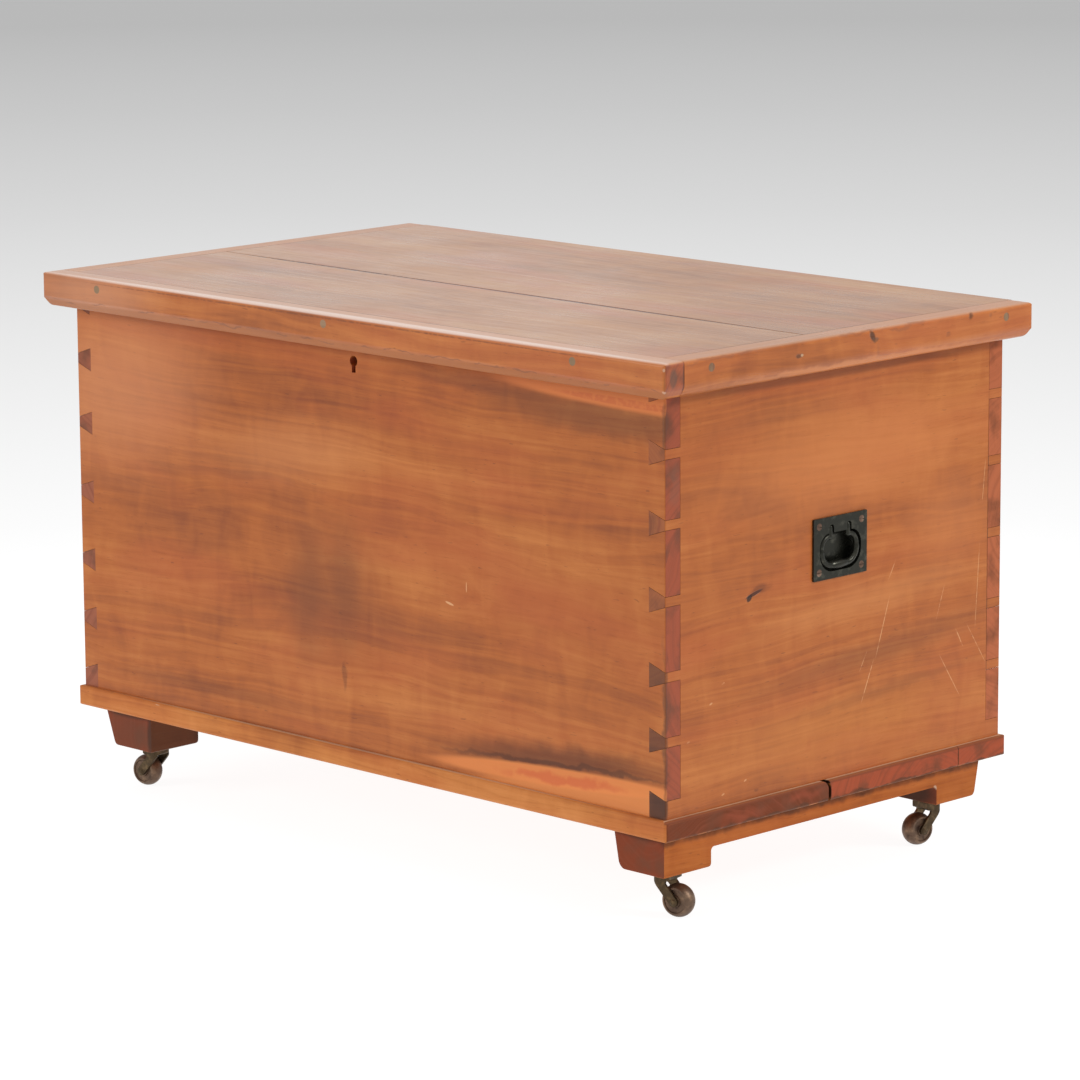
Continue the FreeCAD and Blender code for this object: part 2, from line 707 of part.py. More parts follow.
def rod(u0, v0, radius0, u1, v1, radius1):
    """A straight length of the bail between two points, which may taper."""
    start = V(-bail_depth, u0, v0)
    run = V(-bail_depth, u1, v1) - start
    if abs(radius1 - radius0) < 1e-9:
        return Part.makeCylinder(radius0, run.Length, start, run)
    return Part.makeCone(radius0, radius1, run.Length, start, run)


def bend(radius, u, v, run, centre_u, centre_v, angle):
    """A bent length of the bail that starts at (u, v) across the direction run."""
    section = Part.Face(Part.Wire(Part.Circle(V(-bail_depth, u, v), run, radius).toShape()))
    return section.revolve(V(0, centre_u, centre_v), V(1, 0, 0), angle)


def make_bail():
    """A D-shaped ring that swells towards its grip, open between two hooked arms."""
    arm = bail_arm_spacing / 2
    side = bail_width / 2
    v_shoulder = pivot_rise - bail_shoulder
    v_grip = pivot_rise - bail_drop
    v_side_top = v_shoulder - bail_shoulder_radius
    v_side_low = v_grip + bail_corner_radius
    u_shoulder = side - bail_shoulder_radius
    u_corner = side - bail_corner_radius
    half = [
        Part.makeSphere(bail_arm_radius, V(-bail_depth, arm, pivot_rise)),
        rod(arm, pivot_rise, trunnion_radius, arm + trunnion_length, pivot_rise, trunnion_radius),
        rod(arm, pivot_rise, bail_arm_radius, arm, v_shoulder, bail_arm_radius),
        Part.makeSphere(bail_arm_radius, V(-bail_depth, arm, v_shoulder)),
        rod(arm, v_shoulder, bail_arm_radius, u_shoulder, v_shoulder, bail_arm_radius),
        bend(bail_arm_radius, u_shoulder, v_shoulder, V(0, 1, 0), u_shoulder, v_side_top, -90),
        rod(side, v_side_top, bail_arm_radius, side, v_side_low, bail_side_radius),
        bend(bail_side_radius, side, v_side_low, V(0, 0, 1), u_corner, v_side_low, -90),
    ]
    swell = [
        Part.Arc(V(bail_side_radius, 0, -u_corner), V(bail_grip_radius, 0, 0), V(bail_side_radius, 0, u_corner)),
        Part.LineSegment(V(bail_side_radius, 0, u_corner), V(0, 0, u_corner)),
        Part.LineSegment(V(0, 0, u_corner), V(0, 0, -u_corner)),
        Part.LineSegment(V(0, 0, -u_corner), V(bail_side_radius, 0, -u_corner)),
    ]
    grip = Part.Face(Part.Wire([edge.toShape() for edge in swell])).revolve(V(0, 0, 0), V(0, 0, 1), 360)
    grip.Placement = FreeCAD.Placement(
        V(-bail_depth, 0, v_grip), FreeCAD.Rotation(V(0, 0, 1), V(0, 1, 0)))
    mirrored = [piece.mirror(V(0, 0, 0), V(0, 1, 0)) for piece in half]
    return as_solid(grip.fuse(half + mirrored))


def make_handle():
    """Plate with its pressed pocket and lugs, the bail, and the hollow they need."""
    cavity = soften_floor(prism(
        pocket_outline(0), "X", handle_plate_thickness - pocket_depth, handle_plate_thickness + 1),
        handle_plate_thickness - pocket_depth, pocket_floor_radius)
    shell_back = handle_plate_thickness - pocket_depth - pocket_wall
    shell = soften_floor(prism(
        pocket_outline(pocket_wall), "X", shell_back, handle_plate_thickness / 2),
        shell_back, pocket_floor_radius + pocket_wall)
    plate = prism(rectangle(
        -handle_plate_width / 2, handle_plate_width / 2,
        -handle_plate_height / 2, handle_plate_height / 2, 1.0), "X", 0, handle_plate_thickness)
    plate = plate.fuse(shell)
    arm = bail_arm_spacing / 2
    slot_half = bail_arm_radius + bail_clearance
    lug_start = arm + slot_half
    for side in (-1, 1):
        u0, u1 = sorted((side * lug_start, side * (lug_start + lug_width)))
        plate = plate.fuse(prism(rectangle(
            u0, u1, pivot_rise - trunnion_radius - 2, pivot_rise + trunnion_radius + 2), "X",
            -lug_depth, handle_plate_thickness / 2))
    plate = plate.cut(cavity)
    bore = trunnion_radius + running_clearance
    plate = plate.cut(cylinder(
        bore, V(-bail_depth, -lug_start - lug_width, pivot_rise),
        V(-bail_depth, lug_start + lug_width, pivot_rise)))
    for side in (-1, 1):
        slot = [
            (side * arm - slot_half, -pocket_drop, 0), (side * arm + slot_half, -pocket_drop, 0),
            (side * arm + slot_half, pivot_rise + slot_half, slot_half * 0.98),
            (side * arm - slot_half, pivot_rise + slot_half, slot_half * 0.98)]
        plate = plate.cut(prism(slot, "X", -bail_depth - slot_half, handle_plate_thickness))
    u_recess = lug_start + lug_width + mortise_clearance
    mortise = prism(pocket_outline(pocket_wall + mortise_clearance), "X", shell_back - mortise_clearance, 0)
    mortise = mortise.fuse(box(
        -lug_depth - mortise_clearance, 0, -u_recess, u_recess, 0,
        pivot_rise + trunnion_radius + 2 + mortise_clearance))
    return plate, make_bail(), mortise


def seat(shape, side):
    """Carry a piece made at the origin to the right end, or turned about to the left."""
    placed = shape.copy()
    placed.translate(V(x_side, y_middle, z_floor + handle_height))
    if side == "left":
        placed.rotate(V(0, y_middle, 0), V(0, 0, 1), 180)
    return placed


handle_plate, bail, handle_mortise = make_handle()
handle_u = handle_plate_width / 2 - handle_screw_inset
handle_v = handle_plate_height / 2 - handle_screw_inset
handle_screws = []
for side, outward in (("left", -1), ("right", 1)):
    pairs = []
    for i, (u, v) in enumerate(((-1, -1), (1, -1), (1, 1), (-1, 1))):
        head = V(outward * (x_side + handle_plate_thickness), y_middle + u * handle_u,
                 z_floor + handle_height + v * handle_v)
        pairs.append(wood_screw(handle_screw, head, V(-outward, 0, 0), 90.0 + 4.0 * i))
    holes = group([hole for screw, hole in pairs])
    handle_screws += [screw for screw, hole in pairs]
    nodes["handle_plate_" + side] = as_solid(seat(handle_plate, side).cut(holes))
    nodes["handle_bail_" + side] = seat(bail, side)
    pin_boards[side] = pin_boards[side].cut(seat(handle_mortise, side)).cut(holes)
nodes["handle_screws"] = group(handle_screws)

# ---------------------------------------------------------------- lipping screws and plugs

z_lip_screw = z_rim + plug_rise
front_plugs = (-x_lid + front_plug_left, -front_plug_middle, x_lid - front_plug_right)
lip_fixings = [(V(x, y_lid_front, z_lip_screw), V(0, 1, 0)) for x in front_plugs]
for outward in (-1, 1):
    for y in (y_lid_front + side_plug_front, y_lid_rear - side_plug_rear):
        lip_fixings.append((V(outward * x_lid, y, z_lip_screw), V(-outward, 0, 0)))
lip_screws = []
lip_holes = []
plugs = []
for i, (mouth, inward) in enumerate(lip_fixings):
    screw, hole = wood_screw(lip_screw, mouth + inward * plug_length, inward, 50.0 * i)
    plug = cylinder(plug_radius, mouth, mouth + inward * plug_length)
    lip_screws.append(screw)
    lip_holes += [hole, plug]
    plugs.append(plug)
lip_holes = group(lip_holes)
nodes["lipping_screws"] = group(lip_screws)
nodes["lipping_plugs"] = group(plugs)
nodes["lid_lipping_front"] = as_solid(lipping_front.cut(lip_holes))
for side in ("left", "right"):
    nodes["lid_lipping_" + side] = as_solid(lippings[side].cut(lip_holes))
nodes["lid_board_front"] = as_solid(lid_board_front.cut(lip_holes))
nodes["lid_board_rear"] = as_solid(lid_board_rear.cut(lip_holes))

# ---------------------------------------------------------------- castors

wheel_radius = wheel_diameter / 2
axle_radius = axle_diameter / 2
pintle_radius = pintle_diameter / 2
hub_half = wheel_width / 2 + 0.7
cheek_inside = hub_half + hub_gap
cheek_outside = cheek_inside + cheek_thickness
z_horn_top = castor_height - pintle_flange_thickness - swivel_gap
z_horn = z_horn_top - horn_thickness


def make_wheel():
    """A barrel wheel with a crowned tread and a turned recess round each hub."""
    half = wheel_width / 2
    rim = wheel_radius - wheel_crown
    tread = Part.Arc(V(rim, 0, half), V(wheel_radius, 0, 0), V(rim, 0, -half)).toShape()
    bore = axle_radius + running_clearance
    side = [(rim, half), (rim - 2, half + 0.5), (rim - 3, half - 1), (hub_radius + 0.6, half - 1),
            (hub_radius, hub_half), (bore, hub_half)]
    outline = [V(r, 0, -h) for r, h in side] + [V(r, 0, h) for r, h in reversed(side)]
    wire = Part.Wire([tread] + Part.makePolygon(outline).Edges)
    wheel = Part.Face(wire).revolve(V(0, 0, 0), V(0, 0, 1), 360)
    wheel.Placement = FreeCAD.Placement(
        V(castor_trail, 0, wheel_radius), FreeCAD.Rotation(V(0, 0, 1), V(0, 1, 0)))
    return wheel


def make_horn():
    """The cast horn: a rounded head over the wheel and two cheeks that slant down to the axle."""
    half = horn_half_length
    boss = V(castor_trail, wheel_radius, 0)
    along = V(-cheek_lean, z_horn, 0) - boss
    along.normalize()
    across = V(along.y, -along.x, 0)
    rise_front = (z_horn - boss.y - across.y * boss_radius) / along.y
    rise_rear = (-half - boss.x + across.x * boss_radius) / along.x
    toe_rear = boss - along * boss_radius - across * boss_radius
    toe_front = boss - along * boss_radius + across * boss_radius
    neck_front = boss + along * rise_front + across * boss_radius
    neck_rear = boss + along * rise_rear - across * boss_radius
    cheek = [
        (-half, z_horn_top, horn_end_radius),
        (-half, neck_rear.y, 3.0),
        (toe_rear.x, toe_rear.y, boss_radius * 0.98),
        (toe_front.x, toe_front.y, boss_radius * 0.98),
        (neck_front.x, z_horn, 2.5),
        (half, z_horn, 2.0),
        (half, z_horn_top, horn_end_radius),
    ]
    bridge = [
        (-half, z_horn_top, horn_end_radius),
        (-half, z_horn, 2.0),
        (half, z_horn, 2.0),
        (half, z_horn_top, horn_end_radius),
    ]
    plan = [
        (-half, -cheek_outside, horn_corner_radius),
        (castor_trail + boss_radius, -cheek_outside, 0),
        (castor_trail + boss_radius, cheek_outside, 0),
        (-half, cheek_outside, horn_corner_radius),
    ]
    horn = prism(bridge, "Y", -cheek_inside, cheek_inside)
    for y0, y1 in ((-cheek_outside, -cheek_inside), (cheek_inside, cheek_outside)):
        horn = horn.fuse(prism(cheek, "Y", y0, y1))
    horn = horn.common(prism(plan, "Z", 0, z_horn_top))
    recess_top = z_horn + 2.5 + swivel_gap
    horn = horn.cut(cylinder(pintle_radius + running_clearance, V(0, 0, z_horn), V(0, 0, z_horn_top)))
    horn = horn.cut(cylinder(pintle_radius + 2.8, V(0, 0, z_horn), V(0, 0, recess_top)))
    axle_start = V(castor_trail, -cheek_outside, wheel_radius)
    axle_end = V(castor_trail, cheek_outside, wheel_radius)
    return as_solid(horn.cut(cylinder(axle_radius, axle_start, axle_end)))


def make_axle():
    """A rivet through both cheeks, with a domed head at each end."""
    head = axle_radius + 1.7
    reach = cheek_outside
    outline = [
        (0, -reach - axle_head_height), (head * 0.6, -reach - axle_head_height * 0.85), (head, -reach),
        (axle_radius, -reach), (axle_radius, reach),
        (head, reach), (head * 0.6, reach + axle_head_height * 0.85), (0, reach + axle_head_height)]
    return revolve(outline, V(castor_trail, 0, wheel_radius), V(0, 1, 0))


def make_pintle():
    """Screwed shank, flange and swivel pin in one, its lower end riveted over."""
    z_flange = castor_height - pintle_flange_thickness
    rivet_top = z_horn + 2.5
    outline = [
        (0, z_horn + 0.6), (pintle_radius + 2.4, z_horn + 0.6), (pintle_radius + 2.4, rivet_top),
        (pintle_radius, rivet_top), (pintle_radius, z_flange), (pintle_flange_radius, z_flange),
        (pintle_flange_radius, castor_height), (pintle_shank_diameter / 2, castor_height),
        (pintle_shank_diameter / 2, castor_height + pintle_shank_length * 0.7),
        (0, castor_height + pintle_shank_length)]
    return revolve(outline, V(0, 0, 0), V(0, 0, 1))


castor_places = {}
for side, (x0, x1) in bearer_spans.items():
    castor_places["front_" + side] = V((x0 + x1) / 2, y_bearer_front + castor_front_inset, 0)
    castor_places["rear_" + side] = V((x0 + x1) / 2, y_bearer_rear - castor_rear_inset, 0)
castor_shapes = {
    "castor_pintle": make_pintle(),
    "castor_horn": make_horn(),
    "castor_axle": make_axle(),
    "castor_wheel": make_wheel(),
}
for corner, place in castor_places.items():
    for name, shape in castor_shapes.items():
        piece = shape.copy()
        piece.rotate(V(0, 0, 0), V(0, 0, 1), castor_angles[corner])
        piece.translate(place)
        nodes[name + "_" + corner] = piece
    side = corner.split("_")[1]
    bearers[side] = bearers[side].cut(nodes["castor_pintle_" + corner])

# ---------------------------------------------------------------- bearer screws and bottom nails

screw_places = {"rail": [], "foot": []}
for x0, x1 in bearer_spans.values():
    x = (x0 + x1) / 2
    for y in (y_gap - bottom_front_width * 0.45, y_gap + shrinkage_gap + bottom_middle_width * 0.45):
        screw_places["rail"].append(V(x, y, z_arch))
    screw_places["foot"].append(V(x, y_bearer_front + foot_length * 0.17, z_foot))
    screw_places["foot"].append(V(x, y_bearer_rear - foot_length * 0.23, z_foot))
rail_holes = drive(rail_screw, screw_places["rail"], V(0, 0, 1), "bearer_rail_screws")
foot_holes = drive(foot_screw, screw_places["foot"], V(0, 0, 1), "bearer_foot_screws")
for side, solid in bearers.items():
    nodes["bearer_" + side] = as_solid(solid.cut(rail_holes).cut(foot_holes))


def make_nail(place):
    """A cut nail driven upwards, its head flush with the underside of the bottom."""
    half = nail_width / 2
    shank = [(-half, 0, 0), (half, 0, 0), (half * 0.45, nail_length, 0), (-half * 0.45, nail_length, 0)]
    nail = prism(shank, "Y", -nail_thickness / 2, nail_thickness / 2)
    nail = nail.fuse(box(-nail_head / 2, nail_head / 2, -nail_head / 2, nail_head / 2, 0, nail_head_thickness))
    nail.translate(place)
    return nail


nail_places = []
for i in range(nails_along):
    x = -x_side + nail_end_margin + (body_length - 2 * nail_end_margin) * i / (nails_along - 1)
    nail_places.append(V(x, y_front + front_thickness / 2, z_bottom))
    nail_places.append(V(x, y_rear - front_thickness / 2, z_bottom))
for x in (-x_side + side_thickness / 2, x_side - side_thickness / 2):
    nail_places.append(V(x, y_front + front_thickness + nail_board_margin, z_bottom))
    nail_places.append(V(x, y_gap - nail_board_margin, z_bottom))
    nail_places.append(V(x, y_gap + shrinkage_gap + nail_board_margin, z_bottom))
    nail_places.append(V(x, y_tight - nail_board_margin, z_bottom))
    nail_places.append(V(x, (y_tight + y_rear - front_thickness) / 2, z_bottom))
nails = group([make_nail(place) for place in nail_places])
nodes["bottom_nails"] = nails
for name, solid in bottom_boards.items():
    nodes[name] = as_solid(solid.cut(nails).cut(rail_holes).cut(foot_holes))

nodes["front_board"] = as_solid(front_board.cut(nails))
nodes["rear_board"] = as_solid(rear_board.cut(nails))
for side, solid in pin_boards.items():
    nodes["side_board_" + side] = as_solid(solid.cut(nails))

# ---------------------------------------------------------------- write the pieces

os.makedirs("parts", exist_ok=True)
for name, shape in nodes.items():
    shape.exportStep(os.path.join("parts", name + ".step"))
    print(name, len(shape.Solids), "valid" if shape.isValid() else "NOT VALID", round(shape.Volume))
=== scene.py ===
import math
import bpy
from mathutils import Matrix, Vector


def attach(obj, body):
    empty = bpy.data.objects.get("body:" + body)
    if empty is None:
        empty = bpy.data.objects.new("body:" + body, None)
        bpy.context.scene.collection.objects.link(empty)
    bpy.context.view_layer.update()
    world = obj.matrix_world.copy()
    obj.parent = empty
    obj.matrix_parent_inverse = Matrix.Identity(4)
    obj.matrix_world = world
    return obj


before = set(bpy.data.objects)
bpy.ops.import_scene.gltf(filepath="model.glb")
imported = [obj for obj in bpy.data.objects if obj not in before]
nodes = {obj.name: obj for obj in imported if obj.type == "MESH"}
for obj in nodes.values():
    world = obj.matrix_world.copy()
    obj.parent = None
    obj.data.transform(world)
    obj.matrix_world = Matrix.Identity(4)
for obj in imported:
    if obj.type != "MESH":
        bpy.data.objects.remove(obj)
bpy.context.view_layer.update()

scene = bpy.context.scene
bpy.ops.object.select_all(action="DESELECT")

# ---------------------------------------------------------------- camera
# A long lens some six metres away, a little above the lid and turned towards the
# right-hand front corner of the chest.
camera_place = Vector((4.2803, -4.2598, 1.5236))
camera_yaw, camera_pitch, camera_roll = -0.7852, 0.1939, -0.0062
lens_pixels = 5075.4            # focal length, for a picture 1080 pixels wide
sensor = 36.0

ahead = Vector((math.sin(camera_yaw) * math.cos(camera_pitch),
                math.cos(camera_yaw) * math.cos(camera_pitch), -math.sin(camera_pitch)))
level = Vector((math.cos(camera_yaw), -math.sin(camera_yaw), 0))
above = level.cross(ahead)
right = math.cos(camera_roll) * level + math.sin(camera_roll) * above
up = math.cos(camera_roll) * above - math.sin(camera_roll) * level
bpy.ops.object.camera_add(location=camera_place)
camera = bpy.context.object
camera.name = "camera"
turned = Matrix((right, up, -ahead)).transposed().to_4x4()
camera.matrix_world = Matrix.Translation(camera_place) @ turned
camera.data.sensor_width = sensor
camera.data.lens = lens_pixels / 1080 * sensor
camera.data.clip_end = 200
scene.camera = camera

# ---------------------------------------------------------------- studio
# A wide sheet of white paper, lit from below, that falls off to grey far from the chest, a
# white tent of light all round, and four soft boxes: over the lid, to the left, the key
# light to the right, and a low one behind whose sheen lies on the lid.


def hex_colour(code):
    """Turn an sRGB hex colour into linear RGBA."""
    values = [int(code[i:i + 2], 16) / 255 for i in (1, 3, 5)]
    return [v / 12.92 if v <= 0.04045 else ((v + 0.055) / 1.055) ** 2.4 for v in values] + [1.0]


def add(tree, kind, sockets=None, **settings):
    """Add a node, make its settings, and fill or link its sockets."""
    made = tree.nodes.new("ShaderNode" + kind)
    for setting, value in settings.items():
        setattr(made, setting, value)
    for socket, value in (sockets or {}).items():
        if isinstance(value, bpy.types.NodeSocket):
            tree.links.new(value, made.inputs[socket])
        else:
            made.inputs[socket].default_value = value
    return made


def empty_material(name):
    """A named material with nothing in it but its output."""
    material = bpy.data.materials.new(name)
    material.use_nodes = True
    material.node_tree.nodes.clear()
    return material, material.node_tree


def fill_ramp(node, stops):
    """Set a colour ramp's stops from (place, hex colour) pairs."""
    ramp = node.color_ramp
    while len(ramp.elements) < len(stops):
        ramp.elements.new(0.5)
    for element, (place, code) in zip(ramp.elements, stops):
        element.position = place
        element.color = hex_colour(code)


paper, tree = empty_material("matte_white_paper")
place = add(tree, "TexCoord").outputs["Object"]
away = add(tree, "VectorMath", {0: place}, operation="LENGTH").outputs["Value"]
reach = add(tree, "MapRange", {"Value": away, "From Min": 0.0, "From Max": 12.0}).outputs["Result"]
fade = add(tree, "ValToRGB", {"Fac": reach})
fill_ramp(fade, [(0.10, "#FFFFFF"), (0.17, "#F4F4F4"), (0.25, "#ECECEC"), (0.35, "#E2E2E2"),
                 (0.48, "#D4D4D4"), (0.66, "#C5C5C5"), (0.875, "#B6B6B6")])
paper_albedo, paper_glow, paper_radius = 0.15, 0.92, 45
matte = add(tree, "VectorMath", {0: fade.outputs["Color"], "Scale": paper_albedo},
            operation="SCALE").outputs["Vector"]
sheet_shader = add(tree, "BsdfPrincipled", {
    "Base Color": matte, "Roughness": 0.9, "Specular IOR Level": 0.1,
    "Emission Color": fade.outputs["Color"], "Emission Strength": paper_glow})
add(tree, "OutputMaterial", {"Surface": sheet_shader.outputs["BSDF"]})
bpy.ops.mesh.primitive_circle_add(vertices=96, radius=paper_radius, fill_type="NGON", location=(0, 0, 0))
floor = bpy.context.object
floor.name = "paper_floor"
floor.data.materials.append(paper)

scene.view_settings.view_transform = "Standard"
tent = bpy.data.worlds.new("light_tent")
tent.use_nodes = True
tent_light = tent.node_tree.nodes["Background"].inputs
tent_light["Color"].default_value = hex_colour("#FFFFFF")
tent_light["Strength"].default_value = 0.55
scene.world = tent

aim_point = Vector((0, 0, 0.35))
soft_boxes = {
    # place and side in metres, power in watts
    "over_lid": ((0.6, 0.4, 4.2), 2.4, 60),
    "left": ((-2.2, -4.8, 2.8), 1.8, 100),
    "right": ((5.0, 2.4, 3.6), 1.0, 140),
    "behind": ((-4.6, 3.2, 2.3), 2.6, 3.7),
}
for name, (spot, size, power) in soft_boxes.items():
    bpy.ops.object.light_add(type="AREA", location=spot)
    lamp = bpy.context.object
    lamp.name = "soft_box_" + name
    lamp.data.size = size
    lamp.data.energy = power
    aim = aim_point - Vector(spot)
    lamp.rotation_euler = aim.to_track_quat("-Z", "Y").to_euler()

# ---------------------------------------------------------------- front board
# One wide board of a warm orange-brown softwood, planed, stained by age and waxed. It has
# dark heartwood along its upper right edge, a pale sapwood wedge at its lower right, and
# a smudge near the middle. Its tails' end grain shows on the sides of the chest.

board_tones = ("#864420", "#AD5F28", "#C47739")     # dark, middle and light wood
blush_tone, fleck_tone = "#B0532A", "#6A3A22"
end_tone, end_ring_tone, end_blot_tone = "#9C4A2C", "#824027", "#6A3C26"
# The near black of the saw cuts is painted shade inside the joints.
joint_shade_tone = "#2E1A10"
ring_width = 0.006              # metres
trunk_wander = 0.06             # metres that the heart line may stray


def waxed_board(name, grain, heart, tones=board_tones, end=end_tone, marks=(), polish=0.42, wax=0.05,
                shine=0.28, turn_about=None, end_ring=end_ring_tone, jointed=False):
    """One board: rings round a heart line along its grain, fibres, pores, marks and wax.

    heart is the heart line's place across the grain, in metres. A mark is (colour, centre,
    radii, turn, strength, softness, depth), in mm and degrees; it may be a stain, a streak,
    a scratch, a dent, painted shade or painted light. turn_about is the axis across the face
    that is marked. polish is the roughness, wax the weight of the coat and shine the specular
    level. A jointed board has saw cuts, which look up or down; they are bare, and painted dark as the shade
    inside the joints.
    """
    material, tree = empty_material(name)
    seen = add(tree, "TexCoord")
    place = seen.outputs["Object"]
    turn = 0.0 if grain == "X" else -math.pi / 2
    inside = add(tree, "Mapping", {"Vector": place, "Rotation": (0, 0, turn),
                                   "Location": (0, -heart[0], -heart[1])}).outputs["Vector"]
    # The heart line wanders slowly, over about 0.6 m of length and 0.15 m of width.
    long_way = add(tree, "Mapping", {"Vector": inside, "Scale": (1.6, 6.0, 6.0)}).outputs["Vector"]
    wander = add(tree, "TexNoise", {"Vector": long_way, "Scale": 1.0, "Detail": 3.0})
    centred = add(tree, "VectorMath", {0: wander.outputs["Color"], 1: (0.5, 0.5, 0.5)},
                  operation="SUBTRACT").outputs["Vector"]
    moved = add(tree, "VectorMath", {0: centred, "Scale": trunk_wander},
                operation="SCALE").outputs["Vector"]
    trunk = add(tree, "VectorMath", {0: inside, 1: moved}, operation="ADD").outputs["Vector"]
    across = add(tree, "VectorMath", {0: trunk, 1: (0, 1, 1)}, operation="MULTIPLY").outputs["Vector"]
    radius = add(tree, "VectorMath", {0: across}, operation="LENGTH").outputs["Value"]
    ring_count = add(tree, "Math", {0: radius, 1: 1 / ring_width}, operation="MULTIPLY").outputs["Value"]
    rings = add(tree, "TexNoise", {"W": ring_count, "Scale": 1.0, "Detail": 3.0, "Roughness": 0.6},
                noise_dimensions="1D").outputs["Fac"]
    # Streaks some 5 mm wide and 0.15 m long, and pores drawn 1.5 mm wide so that they show.
    streak_way = add(tree, "Mapping", {"Vector": trunk, "Scale": (7, 190, 190)}).outputs["Vector"]
    streaks = add(tree, "TexNoise", {"Vector": streak_way, "Scale": 1.0, "Detail": 6.0,
                                     "Roughness": 0.62}).outputs["Fac"]
    pore_way = add(tree, "Mapping", {"Vector": trunk, "Scale": (28, 650, 650)}).outputs["Vector"]
    pores = add(tree, "TexNoise", {"Vector": pore_way, "Scale": 1.0, "Detail": 3.0,
                                   "Roughness": 0.7}).outputs["Fac"]
    cloud_way = add(tree, "Mapping", {"Vector": trunk, "Scale": (2.2, 11, 11)}).outputs["Vector"]
    clouds = add(tree, "TexNoise", {"Vector": cloud_way, "Scale": 1.0, "Detail": 4.0}).outputs["Fac"]
    # The cross-grain shimmer of slightly curly fibres, about 30 mm from wave to wave.
    curl_way = add(tree, "Mapping", {"Vector": place, "Scale": (30, 30, 16)}).outputs["Vector"]
    curl = add(tree, "TexNoise", {"Vector": curl_way, "Scale": 1.0, "Detail": 3.0,
                                  "Distortion": 0.8}).outputs["Fac"]
    tone = 0.0
    for source, weight in ((rings, 0.28), (streaks, 0.26), (clouds, 0.72), (curl, 0.26)):
        tone = add(tree, "Math", {0: source, 1: weight, 2: tone},
                   operation="MULTIPLY_ADD").outputs["Value"]
    tone = add(tree, "MapRange", {"Value": tone, "From Min": 0.52, "From Max": 1.0}).outputs["Result"]
    ramp = add(tree, "ValToRGB", {"Fac": tone})
    fill_ramp(ramp, [(0.0, tones[0]), (0.48, tones[1]), (1.0, tones[2])])
    colour = ramp.outputs["Color"]
    # Redder heartwood comes and goes along the board.
    blush_way = add(tree, "Mapping", {"Vector": trunk, "Scale": (3.5, 14, 14)}).outputs["Vector"]
    blush = add(tree, "TexNoise", {"Vector": blush_way, "Scale": 1.0, "Detail": 3.0}).outputs["Fac"]
    blush = add(tree, "MapRange", {"Value": blush, "From Min": 0.48, "From Max": 0.68,
                                   "To Max": 0.35}).outputs["Result"]
    colour = add(tree, "Mix", {"Factor": blush, "A": colour, "B": hex_colour(blush_tone)},
                 data_type="RGBA").outputs[2]
    pore_mask = add(tree, "MapRange", {"Value": pores, "From Min": 0.42, "From Max": 0.30,
                                       "To Max": 0.32}).outputs["Result"]
    colour = add(tree, "Mix", {"Factor": pore_mask, "A": colour, "B": hex_colour(tones[0])},
                 data_type="RGBA").outputs[2]
    # Short dark flecks, some 12 mm long and 1.5 mm wide.
    fleck_way = add(tree, "Mapping", {"Vector": trunk, "Scale": (70, 420, 420)}).outputs["Vector"]
    flecks = add(tree, "TexNoise", {"Vector": fleck_way, "Scale": 1.0, "Detail": 1.0}).outputs["Fac"]
    fleck_mask = add(tree, "MapRange", {"Value": flecks, "From Min": 0.73, "From Max": 0.79,
                                        "To Max": 0.50}).outputs["Result"]
    colour = add(tree, "Mix", {"Factor": fleck_mask, "A": colour, "B": hex_colour(fleck_tone)},
                 data_type="RGBA").outputs[2]
    # End grain soaks up more, so it is darker and redder, with grey-brown blotches.
    outward = add(tree, "SeparateXYZ", {"Vector": seen.outputs["Normal"]}).outputs
    facing = outward[0 if grain == "X" else 1]
    facing = add(tree, "Math", {0: facing}, operation="ABSOLUTE").outputs["Value"]
    end_mask = add(tree, "MapRange", {"Value": facing, "From Min": 0.75, "From Max": 0.9}).outputs["Result"]
    end_ramp = add(tree, "ValToRGB", {"Fac": rings})
    fill_ramp(end_ramp, [(0.15, end_ring), (0.55, end), (0.85, end)])
    blot = add(tree, "TexNoise", {"Vector": place, "Scale": 26.0, "Detail": 4.0}).outputs["Fac"]
    blot_mask = add(tree, "MapRange", {"Value": blot, "From Min": 0.50, "From Max": 0.66,
                                       "To Max": 0.75}).outputs["Result"]
    end_colour = add(tree, "Mix", {"Factor": blot_mask, "A": end_ramp.outputs["Color"],
                                   "B": hex_colour(end_blot_tone)}, data_type="RGBA").outputs[2]
    colour = add(tree, "Mix", {"Factor": end_mask, "A": colour, "B": end_colour},
                 data_type="RGBA").outputs[2]
    height = add(tree, "Math", {0: streaks, 1: 0.35, 2: pores}, operation="MULTIPLY_ADD").outputs["Value"]
